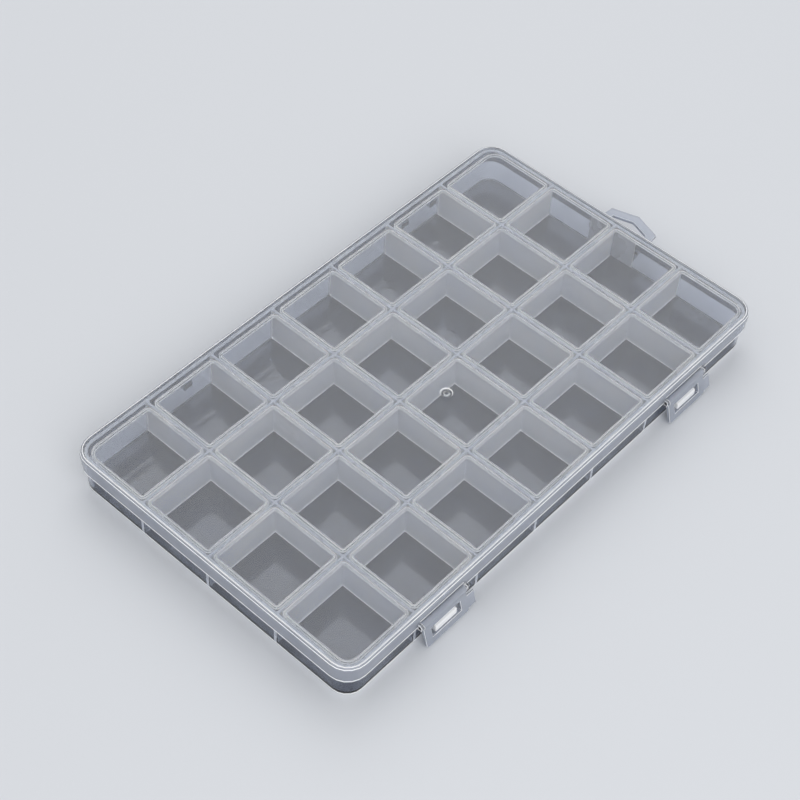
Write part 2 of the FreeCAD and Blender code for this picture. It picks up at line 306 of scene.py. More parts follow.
def divider_lines():
    """Middle lines of the dividers in X and Y, with the rim's outline as first and last value."""
    sizes = bpy.context.scene.box_sizes
    x0, x1, y0, y1 = compartments()
    lines = []
    for low, whole in ((np.unique(x0), sizes.box_length), (np.unique(y0), sizes.box_width)):
        lines.append(np.concatenate([[-whole / 2], low[1:] - sizes.divider / 2, [whole / 2]]))
    return lines


def outer_sides():
    """For every compartment, whether its front, right, back and left side and the corner before each lie on the
    tray's outer wall. A corner does where both its sides do."""
    sizes = bpy.context.scene.box_sizes
    column, row = grid(np.arange(sizes.columns), np.arange(sizes.rows))
    sides = np.stack([row == 0, column == sizes.columns - 1, row == sizes.rows - 1, column == 0], axis=1)
    return sides, sides & np.roll(sides, 1, axis=1)


def corner_radii(plain, round_one):
    """Radii of every compartment's four corners: one radius at the box's own corners and another elsewhere."""
    return np.where(outer_sides()[1], round_one, plain)


def outlines(x0, x1, y0, y1, radii, fractions):
    """Rounded rectangles, one for each compartment: from the front left corner round to the right, each corner is
    a quarter circle about the corner drawn in by its radius, and each side runs straight to the next one."""
    signs = np.array([[1, 1], [-1, 1], [-1, -1], [1, -1]])
    corners = np.stack([np.stack([x0, x1, x1, x0], 1), np.stack([y0, y0, y1, y1], 1)], 2)
    centres = corners + signs * radii[:, :, None]
    turn = np.pi + np.arange(4)[:, None] * np.pi / 2 + np.linspace(0, np.pi / 2, ARC_POINTS)
    arcs = centres[:, :, None] + radii[:, :, None, None] * circle(turn)
    ends = arcs[:, :, -1:]
    starts = np.roll(arcs[:, :, :1], -1, axis=1)
    sides = ends + (starts - ends) * fractions[:, None]
    return np.concatenate([arcs, sides], axis=2).reshape(len(x0), -1, 2)


def boundary(inset, fractions):
    """Each compartment's share of the plan: middle lines of the dividers, and the nested outline outside."""
    sizes = bpy.context.scene.box_sizes
    lines = [line.copy() for line in divider_lines()]
    for line in lines:
        line[0] += inset
        line[-1] -= inset
    x0, y0 = grid(*(line[:-1] for line in lines))
    x1, y1 = grid(*(line[1:] for line in lines))
    return outlines(x0, x1, y0, y1, corner_radii(0.0, sizes.corner_radius - inset), fractions)


def perimeter(fractions):
    """Rim's outline as base points and outward directions; a nested outline is base minus inset times direction."""
    sizes = bpy.context.scene.box_sizes
    radius = sizes.corner_radius
    half = np.array([sizes.box_length, sizes.box_width]) / 2
    runs = []
    for line, reach in zip(divider_lines(), half - radius):
        stops = np.concatenate([[-reach], line[1:-1], [reach]])
        run = stops[:-1, None] + np.diff(stops)[:, None] * np.append(fractions, 1.0)
        runs.append(run.ravel()[:-1])
    signs = np.array([[-1, -1], [1, -1], [1, 1], [-1, 1]])
    ways = np.array([[0, -1], [1, 0], [0, 1], [-1, 0]])
    along = [runs[0], runs[1], runs[0][::-1], runs[1][::-1]]
    bases = []
    outward = []
    for k, way in enumerate(ways):
        arc = circle(np.pi + k * np.pi / 2 + np.linspace(0, np.pi / 2, ARC_POINTS))
        bases.append(signs[k] * (half - radius) + radius * arc)
        outward.append(arc)
        side = np.empty((len(along[k]), 2))
        side[:, k % 2] = along[k]
        side[:, 1 - k % 2] = way[1 - k % 2] * half[1 - k % 2]
        bases.append(side)
        outward.append(np.tile(way, (len(side), 1)))
    return np.concatenate(bases), np.concatenate(outward).astype(float)


def lift(flat, height):
    """Flat points with a height, one for all or one for each."""
    return np.concatenate([flat, np.broadcast_to(np.asarray(height, float), flat.shape[:-1])[..., None]], axis=-1)


def quarter(steps=EDGE_STEPS):
    """Sine and cosine over a quarter turn, ends included, for a rounded edge."""
    turn = np.linspace(0, np.pi / 2, steps + 1)
    return list(zip(np.sin(turn), np.cos(turn)))


def woven(loops, finishes, closed=False):
    """Surface through a stack of closed loops (loops, ..., around, 3): points, four-sided faces and their material
    places. Finishes hold one place for each band, each face of a sheet, or each face of all the sheets. Closed also
    joins the last loop to the first."""
    stack = np.stack(loops)
    stack = np.moveaxis(stack, 0, -3).reshape(-1, len(loops), *stack.shape[-2:])
    sheets, rings, around = stack.shape[:3]
    index = np.arange(sheets * rings * around).reshape(sheets, rings, around)
    following = np.roll(index, -1, axis=1) if closed else index[:, 1:]
    index = index if closed else index[:, :-1]
    faces = np.stack([index, np.roll(index, -1, axis=2), np.roll(following, -1, axis=2), following], axis=-1)
    finishes = np.asarray(finishes)
    places = np.broadcast_to(finishes[:, None] if finishes.ndim == 1 else finishes, faces.shape[:3])
    return stack.reshape(-1, 3), faces.reshape(-1, 4), places.ravel()


def make_piece(name, parts, kinds):
    """Object at the origin from several surfaces: doubles merged, so that seams and poles close, faces outwards.
    The kinds are the finishes at its material places."""
    counts = np.cumsum([0] + [len(part[0]) for part in parts])
    points = np.concatenate([part[0] for part in parts])
    faces = np.concatenate([part[1] + start for part, start in zip(parts, counts)])
    places = np.concatenate([part[2] for part in parts])
    mesh = bpy.data.meshes.new(name)
    mesh.vertices.add(len(points))
    mesh.vertices.foreach_set("co", points.astype(np.float32).ravel())
    mesh.loops.add(faces.size)
    mesh.loops.foreach_set("vertex_index", faces.astype(np.int32).ravel())
    mesh.polygons.add(len(faces))
    mesh.polygons.foreach_set("loop_start", np.arange(0, faces.size, 4, dtype=np.int32))
    mesh.polygons.foreach_set("material_index", places.astype(np.int32))
    mesh.update(calc_edges=True)
    shape = bmesh.new()
    shape.from_mesh(mesh)
    bmesh.ops.remove_doubles(shape, verts=shape.verts, dist=MERGE)
    bmesh.ops.recalc_face_normals(shape, faces=shape.faces)
    open_edges = sum(1 for edge in shape.edges if not edge.is_manifold)
    if open_edges:
        raise RuntimeError(f"{name} has {open_edges} open edges")
    shape.to_mesh(mesh)
    shape.free()
    mesh.shade_smooth()
    mesh.set_sharp_from_angle(angle=SHARP_ANGLE)
    for kind in kinds:
        mesh.materials.append(finish(kind))
    piece = bpy.data.objects.new(name, mesh)
    bpy.context.scene.collection.objects.link(piece)
    soften(piece)
    return piece


def soften(piece):
    """Keeps flat faces flat next to their rounded edges."""
    normals = piece.modifiers.new("flat faces", "WEIGHTED_NORMAL")
    normals.mode = "FACE_AREA"
    normals.keep_sharp = True


def stood(outline, x):
    """Outline in Y and Z, stood at a place along X."""
    return np.concatenate([np.full((len(outline), 1), x), outline], axis=1)


def block_on(outline, x0, x1, edge, side=WALL):
    """Prism along X: the outline in Y and Z is carried from x0 to x1, drawn in towards its middle at both ends by
    the edge's width, and closed by a pole in each end face."""
    middle = outline.mean(axis=0)
    reach = np.linalg.norm(outline - middle, axis=1, keepdims=True)
    loops = []
    stations = [(x0, None), (x0, 1.0), (x0 + edge, 0.0), (x1 - edge, 0.0), (x1, 1.0), (x1, None)]
    for x, inward in stations:
        share = 0.0 if inward is None else 1 - inward * edge / reach
        loops.append(stood(middle + (outline - middle) * share, x))
    # The drawn-in bands at both ends carry the painted highlight
    return woven(loops, [side, PAINTED_HIGHLIGHT, side, PAINTED_HIGHLIGHT, side])


def softened(corners, radius):
    """Outline with its corners rounded: each corner becomes the parabola that is tangent to both sides at the
    radius, or just short of half a side where that is less."""
    corners = np.asarray(corners, float)
    to_last = np.roll(corners, 1, axis=0) - corners
    to_next = np.roll(corners, -1, axis=0) - corners
    last_length = np.linalg.norm(to_last, axis=1, keepdims=True)
    next_length = np.linalg.norm(to_next, axis=1, keepdims=True)
    reach = np.minimum(radius, np.minimum(last_length, next_length) * SOFT_SHARE)
    start = corners + to_last / last_length * reach
    end = corners + to_next / next_length * reach
    t = np.linspace(0, 1, EDGE_STEPS + 1)[None, :, None]
    curve = (1 - t) ** 2 * start[:, None] + 2 * t * (1 - t) * corners[:, None] + t ** 2 * end[:, None]
    return curve.reshape(-1, 2)


def sleeve(outline, axis, bore, x0, x1, edge):
    """Knuckle along X: the outline goes out along its length and comes back as a round bore about the axis, so the
    surface closes on itself both ways."""
    count = len(outline)
    first = outline[0] - axis
    turn = math.atan2(first[1], first[0]) + np.arange(count) * 2 * np.pi / count
    hole = axis + bore * circle(turn)
    reach = np.linalg.norm(outline - axis, axis=1, keepdims=True)
    drawn_in = axis + (outline - axis) * (1 - edge / reach)
    loops = [stood(drawn_in, x0), stood(outline, x0 + edge), stood(outline, x1 - edge), stood(drawn_in, x1),
             stood(hole, x1), stood(hole, x0)]
    # The rounded bands at both ends carry the painted highlight
    return woven(loops, [PAINTED_HIGHLIGHT, WALL, PAINTED_HIGHLIGHT, WALL, WALL, WALL], closed=True)


def add_node(tree, kind, inputs=None, **settings):
    """Adds a node: settings are its own, inputs are values, or sockets to link from."""
    made = tree.nodes.new(kind)
    for name, value in settings.items():
        setattr(made, name, value)
    for name, value in (inputs or {}).items():
        if isinstance(value, bpy.types.NodeSocket):
            tree.links.new(value, made.inputs[name])
        else:
            made.inputs[name].default_value = value
    return made


def emptied(owner):
    """Node tree of a new material or world, without its first nodes."""
    owner.use_nodes = True
    owner.node_tree.nodes.clear()
    return owner.node_tree


def polypropylene(name, clearer, milkier, transmission, roughness, peel):
    """Natural polypropylene, injection moulded. Cloudy crystals in the plastic drift between two tints over some
    millimetres, the mould's polish varies the gloss, and a faint orange peel moves the highlights."""
    material = bpy.data.materials.new(name)
    tree = emptied(material)
    place = add_node(tree, "ShaderNodeTexCoord").outputs["Object"]
    clouds = add_node(tree, "ShaderNodeTexNoise", {"Vector": place, "Scale": 1 / CLOUD_SIZE, "Detail": 3.0,
                                                   "Roughness": 0.55})
    dents = add_node(tree, "ShaderNodeTexNoise", {"Vector": place, "Scale": 1 / PEEL_SIZE, "Detail": 2.0,
                                                  "Roughness": 0.5})
    spread = {"Value": clouds.outputs["Fac"], "From Min": 0.3, "From Max": 0.7}
    drift = add_node(tree, "ShaderNodeMapRange", spread)
    gloss = add_node(tree, "ShaderNodeMapRange", {**spread, "To Min": roughness[0], "To Max": roughness[1]})
    tint = add_node(tree, "ShaderNodeMix", {"Factor": drift.outputs["Result"], "A": (*clearer, 1.0),
                                            "B": (*milkier, 1.0)}, data_type="RGBA")
    bump = add_node(tree, "ShaderNodeBump", {"Height": dents.outputs["Fac"], "Strength": 0.35, "Distance": peel})
    surface = add_node(tree, "ShaderNodeBsdfPrincipled", {
        "Base Color": tint.outputs["Result"], "Roughness": gloss.outputs["Result"], "IOR": PLASTIC_IOR,
        "Transmission Weight": transmission, "Normal": bump.outputs["Normal"]})
    add_node(tree, "ShaderNodeOutputMaterial", {"Surface": surface.outputs["BSDF"]})
    return material


def finish(kind):
    """Polypropylene of one kind, made the first time that it is asked for. Each kind has its colour's name, the
    share of light that passes, and the least and greatest roughness."""
    name = f"polypropylene {kind}"
    if name in bpy.data.materials:
        return bpy.data.materials[name]
    kinds = {
        # Dividers 1 mm thick: milky, so that they catch the light
        "tray wall": ("wall", 0.08, (0.4, 0.43)),
        # Outer wall: one sheet with empty compartments behind it, so it reads darker than the dividers
        "base": ("base", 1.0, (0.05, 0.1)),
        # Tops and ends of the dividers: thicker plastic than the outer wall, so milkier
        "rib end": ("outside", 0.2, (0.25, 0.3)),
        # Floors: polished by the flat core, the clearest part of the tray; their dark blue-grey tint is painted
        # shade, standing in for a dark ground seen through them, so they read as the darkest
        "tray floor": ("floor", 1.0, (0.06, 0.14)),
        # Lid: a polished mould leaves it nearly clear, with a soft sheen
        "lid": ("lid", 1.0, (0.02, 0.06)),
        # Rounded edges: painted highlight, near-white and almost opaque so that they read as white lines, standing in
        # for glints and for light that runs inside the sheet and leaves here
        "edge": ("edge", 0.05, (0.3, 0.45)),
        # Skirt and rim: seen edge on through more plastic, so milkier than the panel
        "skirt": ("outside", 0.6, (0.1, 0.2)),
        # Latches, pins and hang tab: thicker and a little whiter than the outer wall
        "fitting": ("outside", 0.55, (0.14, 0.24)),
    }
    colour, transmission, roughness = kinds[kind]
    tints = [getattr(bpy.context.scene.box_colours, f"{colour}_{state}") for state in ("thin", "milky")]
    return polypropylene(name, *tints, transmission, roughness, LID_PEEL if kind == "lid" else PEEL)


class STORAGEBOX_OT_tray(bpy.types.Operator):
    """Tray with its compartments, catches, hinge knuckles and the pad behind the hang tab"""
    bl_idname = "storage_box.tray"
    bl_label = "Tray"

    def execute(self, context):
        sizes = context.scene.box_sizes
        fittings = context.scene.fitting_sizes
        parts = [self.pockets(sizes), self.outside(sizes)]
        parts += self.catches(sizes, fittings)
        parts += self.knuckles(sizes, fittings)
        parts += self.pads(sizes, fittings)
        tray = make_piece("tray", parts, ["tray wall", "edge", "tray floor", "base", "rib end"])
        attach(tray, "tray")
        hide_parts(*TRAY_NODES)
        return {"FINISHED"}

    @staticmethod
    def top(sizes):
        """Height of the dividers' tops."""
        return sizes.box_height - sizes.lid_panel - sizes.top_gap

    def pockets(self, sizes):
        """Compartments: each is a stack of rounded rectangles, from its share of the tray's top over a rounded
        edge, down the wall, round a fillet to the floor, in to a round mark and its centre."""
        fractions = edge_fractions()
        top = self.top(sizes)
        edge = sizes.divider_round
        x0, x1, y0, y1 = compartments()
        radii = corner_radii(sizes.pocket_corner, sizes.corner_radius - nested_inset("inner"))

        def pocket(grow):
            return outlines(x0 - grow, x1 + grow, y0 - grow, y1 + grow, np.maximum(radii + grow, 0.0), fractions)

        loops = [lift(boundary(nested_inset("tray") + edge, fractions), top)]
        loops += [lift(pocket(edge * (1 - s)), top - edge * (1 - c)) for s, c in quarter()]
        bend = sizes.pocket_fillet
        loops += [lift(pocket(-bend * (1 - c)), sizes.tray_floor + bend * (1 - s)) for s, c in quarter()]
        middle = np.stack([(x0 + x1) / 2, (y0 + y1) / 2], 1)[:, None]
        spoke = unit(loops[-1][..., :2] - middle)
        sink = sizes.tray_floor - sizes.pin_mark_depth
        mark = sizes.pin_mark
        loops.append(lift(middle + spoke * mark, sizes.tray_floor))
        loops.append(lift(middle + spoke * (mark - sizes.pin_mark_depth), sink))
        loops.append(lift(middle + spoke * 0.0, sink))
        # Painted highlight on the fillet to the floor; the floor and its mark take the floor's painted shade
        bands = [RIB] * (EDGE_STEPS + 1) + [WALL] + [PAINTED_HIGHLIGHT] * EDGE_STEPS + [SHADED_FLOOR] * 3
        finishes = np.tile(np.array(bands)[None, :, None], (len(x0), 1, loops[0].shape[1]))
        # Faces on the outer wall take the floor's finish, clear and with the same painted shade in its tint
        clear = self.outer_faces(len(fractions))[:, None, :]
        finishes[:, EDGE_STEPS + 1:] = np.where(clear, SHADED_FLOOR, finishes[:, EDGE_STEPS + 1:])
        return woven(loops, finishes)

    @staticmethod
    def outer_faces(side_points):
        """For every compartment and every face round it, whether that face belongs to the tray's outer wall, which is
        clear and is given the floor's tint of painted shade, and not to a divider, which is milky."""
        sides, arcs = outer_sides()
        arc_faces = np.repeat(arcs[:, :, None], ARC_POINTS - 1, axis=2)
        side_faces = np.repeat(sides[:, :, None], side_points + 1, axis=2)
        return np.concatenate([arc_faces, side_faces], axis=2).reshape(len(sides), -1)

    def outside(self, sizes):
        """Outer wall and bottom: a profile of insets and heights carried round the outline, closed by a pole."""
        base, outward = perimeter(edge_fractions())
        top = self.top(sizes)
        edge = sizes.divider_round
        wall = nested_inset("tray")
        profile = [(wall + edge * (1 - s), top - edge * (1 - c)) for s, c in quarter()]
        bend = sizes.tray_edge
        profile += [(wall, bend + sizes.highlight_band)]
        profile += [(wall + bend * (1 - c), bend * (1 - s)) for s, c in quarter()]
        loops = [lift(base - inset * outward, z) for inset, z in profile]
        loops.append(np.zeros_like(loops[0]))
        # Painted highlight on the top round, and on the band and round at the bottom; the floor's painted shade
        # underneath
        bands = [PAINTED_HIGHLIGHT] * EDGE_STEPS + [OUTSIDE] + [PAINTED_HIGHLIGHT] * (EDGE_STEPS + 1) + [SHADED_FLOOR]
        finishes = np.repeat(np.array(bands)[:, None], len(base), axis=1)
        finishes[EDGE_STEPS, self.divider_ends(base, outward)] = RIB
        return woven(loops, finishes)

    @staticmethod
    def divider_ends(base, outward):
        """Faces of the outer wall that a divider joins from inside: those with an end on a divider's middle line."""
        on_line = np.zeros(len(base), bool)
        for axis, line in enumerate(divider_lines()):
            near = np.abs(base[:, axis, None] - line[1:-1]).min(axis=1) < MERGE
            on_line |= near & (np.abs(outward[:, 1 - axis]) > 1 - MERGE)
        return on_line | np.roll(on_line, -1)

    @staticmethod
    def catches(sizes, fittings):
        """Wedges on the front wall: a four-sided outline with its corners rounded, carried along X."""
        wall = nested_inset("tray") - sizes.box_width / 2
        front = wall - fittings.catch_reach
        low = fittings.catch_low
        high = low + fittings.catch_height
        corners = [(wall + ROOT, low), (front, low), (front, high - fittings.catch_slope), (wall + ROOT, high)]
        outline = softened(corners, fittings.catch_round)
        half = fittings.catch_length / 2
        places = both_ends(fittings.latch_inset)
        # The whole wedge is given the painted highlight, white so that it reads bright though it sits in the latch's
        # shade
        return [block_on(outline, x - half, x + half, fittings.catch_edge, PAINTED_HIGHLIGHT) for x in places]

    @staticmethod
    def knuckles(sizes, fittings):
        """Outer knuckles: a circle about the hinge axis that runs into a web from the back wall."""
        wall = sizes.box_width / 2 - nested_inset("tray")
        axis = np.array([wall + fittings.hinge_reach, sizes.box_height / 2])
        radius = fittings.barrel_radius
        web_top = sizes.box_height - sizes.lid_depth - fittings.web_gap
        last = np.pi - math.asin((web_top - axis[1]) / radius)
        barrel = axis + (radius - MERGE) * circle(np.linspace(-np.pi / 2, last, KNUCKLE_POINTS))
        web = np.array([[wall - ROOT, web_top], [wall - ROOT, axis[1] - radius]])
        outline = np.concatenate([barrel, web])
        bore = fittings.pin_radius + fittings.pin_seat_play
        near = fittings.lid_knuckle / 2 + fittings.knuckle_gap
        far = near + fittings.tray_knuckle
        spans = [(x + a, x + b) for x in both_ends(fittings.hinge_inset) for a, b in ((-far, -near), (near, far))]
        return [sleeve(outline, axis, bore, x0, x1, fittings.knuckle_edge) for x0, x1 in spans]

    @staticmethod
    def pads(sizes, fittings):
        """Thicker spots of the end wall: flat outlines in Y and Z with rounded corners, carried along X."""
        wall = sizes.box_length / 2 - nested_inset("inner")
        near = sizes.divider / 2 - ROOT
        far = fittings.pad_half
        low = sizes.tray_floor - ROOT
        top = fittings.pad_top
        pads = []
        for y0, y1 in ((-far, -near), (near, far)):
            outline = softened([(y0, low), (y1, low), (y1, top), (y0, top)], fittings.pad_round)
            pads.append(block_on(outline, wall - fittings.pad_thickness, wall + ROOT, fittings.pad_edge, RIB))
        return pads


class STORAGEBOX_OT_lid(bpy.types.Operator):
    """Lid with its rim, skirt, frames, latch brackets and hinge arms"""
    bl_idname = "storage_box.lid"
    bl_label = "Lid"

    def execute(self, context):
        sizes = context.scene.box_sizes
        fittings = context.scene.fitting_sizes
        parts = [self.underside(sizes), self.border(sizes, fittings)]
        parts += self.brackets(sizes, fittings)
        parts += self.arms(sizes, fittings)
        lid = make_piece("lid_moulding", parts, ["lid", "edge", "lid", "skirt"])
        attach(lid, "lid")
        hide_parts("lid")
        return {"FINISHED"}

    @staticmethod
    def underside(sizes):
        """Underside of the panel: for each compartment a stack of rounded rectangles that steps down to the frame,
        round its two lower edges and up again to the panel's centre."""
        fractions = edge_fractions()
        panel = sizes.box_height - sizes.lid_panel
        bottom = panel - sizes.ring_height
        edge = sizes.ring_round
        x0, x1, y0, y1 = compartments()
        back = np.where(y1 > y1.max() - MERGE, sizes.ring_back_gap, sizes.ring_gap)
        inner_radius = sizes.corner_radius - nested_inset("inner")
        radii = corner_radii(sizes.ring_corner, inner_radius - sizes.ring_gap)
        x0, x1, y0, y1 = x0 + sizes.ring_gap, x1 - sizes.ring_gap, y0 + sizes.ring_gap, y1 - back

        def frame_line(inward):
            corner = np.maximum(radii - inward, edge / 2)
            return outlines(x0 + inward, x1 - inward, y0 + inward, y1 - inward, corner, fractions)

        width = sizes.ring_width
        loops = [lift(boundary(nested_inset("cavity"), fractions), panel), lift(frame_line(0.0), panel)]
        loops += [lift(frame_line(edge * (1 - c)), bottom + edge * (1 - s)) for s, c in quarter()]
        loops += [lift(frame_line(width - edge * (1 - s)), bottom + edge * (1 - c)) for s, c in quarter()]
        loops.append(lift(frame_line(width), panel))
        middle = np.stack([(x0 + x1) / 2, (y0 + y1) / 2], 1)[:, None]
        loops.append(lift(np.broadcast_to(middle, loops[0][..., :2].shape), panel))
        # The frames' lower rounds carry the painted highlight, drawn as bright white lines under the lid
        finishes = [WALL, WALL] + [PAINTED_HIGHLIGHT] * EDGE_STEPS + [WALL] + [PAINTED_HIGHLIGHT] * EDGE_STEPS + [WALL, WALL]
        return woven(loops, finishes)

    @staticmethod
    def border(sizes, fittings):
        """Skirt, rim and top: a profile of insets and heights carried round the outline, with the skirt's bottom
        raised over each latch, then drawn in over the flat top to the gate's dimple, its stub and a pole."""
        base, outward = perimeter(edge_fractions())
        panel = sizes.box_height - sizes.lid_panel
        top = sizes.box_height
        step = top - sizes.rim_height
        half = fittings.latch_length / 2 + fittings.cheek_play
        middle = both_ends(fittings.latch_inset)[1]
        over_latch = (np.abs(np.abs(base[:, 0]) - middle) < half) & (outward[:, 1] < MERGE - 1)
        skirt_bottom = top - sizes.lid_depth
        notch_top = skirt_bottom + fittings.bar_rise + fittings.roll_radius + fittings.notch_gap
        low = np.where(over_latch, notch_top, skirt_bottom)
        inside = nested_inset("cavity")
        skirt = nested_inset("skirt")
        edge = sizes.skirt_round
        corner = sizes.fine_round
        profile = [(inside, panel)]
        profile += [(inside - edge * (1 - c), low + edge * (1 - s)) for s, c in quarter()]
        profile += [(skirt + edge * (1 - s), low + edge * (1 - c)) for s, c in quarter()]
        profile += [(skirt, low + edge + sizes.highlight_band), (skirt, step), (corner, step), (0.0, step + corner)]
        bend = sizes.rim_round
        profile += [(bend * (1 - c), top - bend * (1 - s)) for s, c in quarter(RIM_STEPS)]
        loops = [lift(base - inset * outward, z) for inset, z in profile]
        gate = np.array(sizes.gate)
        spoke = unit(loops[-1][:, :2] - gate)
        deep = top - sizes.gate_depth
        dimple = [(sizes.gate_radius, top), (sizes.gate_radius - corner, top - corner),
                  (sizes.gate_radius - 2 * corner, deep), (sizes.gate_nub + corner, deep),
                  (sizes.gate_nub, top - 2 * corner), (sizes.gate_nub - corner, top - corner), (0.0, top - corner)]
        loops += [lift(gate + radius * spoke, z) for radius, z in dimple]
        # Painted highlight on the skirt's lower rounds and the band over them, the rim's step, every third step of
        # the rim's round, and the gate dimple's edges and slope
        finishes = [OUTSIDE] + [PAINTED_HIGHLIGHT] * (2 * EDGE_STEPS + 2) + [OUTSIDE, PAINTED_HIGHLIGHT, PAINTED_HIGHLIGHT, OUTSIDE]
        finishes += [OUTSIDE, OUTSIDE, PAINTED_HIGHLIGHT] * (RIM_STEPS // 3)
        finishes += [WALL, PAINTED_HIGHLIGHT, PAINTED_HIGHLIGHT, WALL, PAINTED_HIGHLIGHT, WALL, WALL]
        return woven(loops, finishes)

    @staticmethod
    def brackets(sizes, fittings):
        """Latch brackets: rounded cheeks on the skirt at the notch's ends and a round bar between them."""
        skirt = nested_inset("skirt") - sizes.box_width / 2
        tray = nested_inset("tray") - sizes.box_width / 2
        bar_y = tray - fittings.roll_gap - fittings.roll_radius
        bar_z = sizes.box_height - sizes.lid_depth + fittings.bar_rise
        reach = fittings.bar_radius + fittings.cheek_rim
        high = bar_z + fittings.roll_radius + fittings.notch_gap
        corners = [(skirt + ROOT, bar_z - reach), (bar_y - reach, bar_z - reach), (bar_y - reach, high),
                   (skirt + ROOT, high)]
        cheek = softened(corners, fittings.cheek_round)
        turn = np.linspace(0, 2 * np.pi, BAR_POINTS, endpoint=False)
        bar = np.array([bar_y, bar_z]) + fittings.bar_radius * circle(turn)
        half = fittings.latch_length / 2 + fittings.cheek_play
        width = fittings.cheek_width
        pieces = []
        for x in both_ends(fittings.latch_inset):
            pieces.append(block_on(bar, x - half - ROOT, x + half + ROOT, ROOT / 2))
            pieces += [block_on(cheek, a, a + width, fittings.cheek_edge) for a in (x - half - width, x + half)]
        return pieces

    @staticmethod
    def arms(sizes, fittings):
        """Hinge arms: a circle about the hinge axis that runs up a slope and along the top into the skirt."""
        wall = sizes.box_width / 2 - nested_inset("tray")
        axis = np.array([wall + fittings.hinge_reach, sizes.box_height / 2])
        radius = fittings.barrel_radius
        low = sizes.box_height - sizes.lid_depth
        high = low + fittings.arm_rise
        root = sizes.box_width / 2 - nested_inset("skirt") - ROOT
        first = np.pi - math.asin((low - axis[1]) / radius)
        barrel = axis + (radius - MERGE) * circle(np.linspace(first, ARM_TURN, ARM_POINTS))
        rise = high - barrel[-1, 1]
        slope = np.array([[barrel[-1, 0] - rise, high], [root, high], [root, low]])
        outline = np.concatenate([barrel, slope])
        bore = fittings.pin_radius + fittings.pin_play
        half = fittings.lid_knuckle / 2
        places = both_ends(fittings.hinge_inset)
        return [sleeve(outline, axis, bore, x - half, x + half, fittings.knuckle_edge) for x in places]


def dress(names, edge):
    """Gives carried-over nodes the fitting's plastic and thin bright edges of painted highlight."""
    for name in names:
        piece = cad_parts[name]
        if not piece.material_slots:
            raise RuntimeError(f"{name} has no material slot")
        piece.material_slots[0].material = finish("fitting")
        piece.data.materials.append(finish("edge"))
        weld = piece.modifiers.new("joined", "WELD")
        weld.merge_threshold = MERGE
        whole = piece.modifiers.new("whole faces", "DECIMATE")
        whole.decimate_type = "DISSOLVE"
        whole.angle_limit = FLAT_ANGLE
        bevel = piece.modifiers.new("edges", "BEVEL")
        bevel.width = edge
        bevel.segments = 2
        bevel.limit_method = "ANGLE"
        bevel.angle_limit = SHARP_ANGLE
        bevel.material = PAINTED_HIGHLIGHT
        bevel.loop_slide = False
        soften(piece)


class STORAGEBOX_OT_latches(bpy.types.Operator):
    """Two latches with their windows, rolls and pull ears"""
    bl_idname = "storage_box.latches"
    bl_label = "Latches"

    def execute(self, context):
        dress(["latch_left", "latch_right"], context.scene.fitting_sizes.latch_edge)
        return {"FINISHED"}


class STORAGEBOX_OT_hang_tab(bpy.types.Operator):
    """Hang tab at the right end"""
    bl_idname = "storage_box.hang_tab"
    bl_label = "Hang Tab"

    def execute(self, context):
        dress(["hang_tab"], context.scene.fitting_sizes.tab_edge)
        return {"FINISHED"}


class STORAGEBOX_OT_hinge_pins(bpy.types.Operator):
    """Pins of the two hinges"""
    bl_idname = "storage_box.hinge_pins"
    bl_label = "Hinge Pins"

    def execute(self, context):
        dress(["hinge_pin_left", "hinge_pin_right"], context.scene.fitting_sizes.pin_edge)
        return {"FINISHED"}


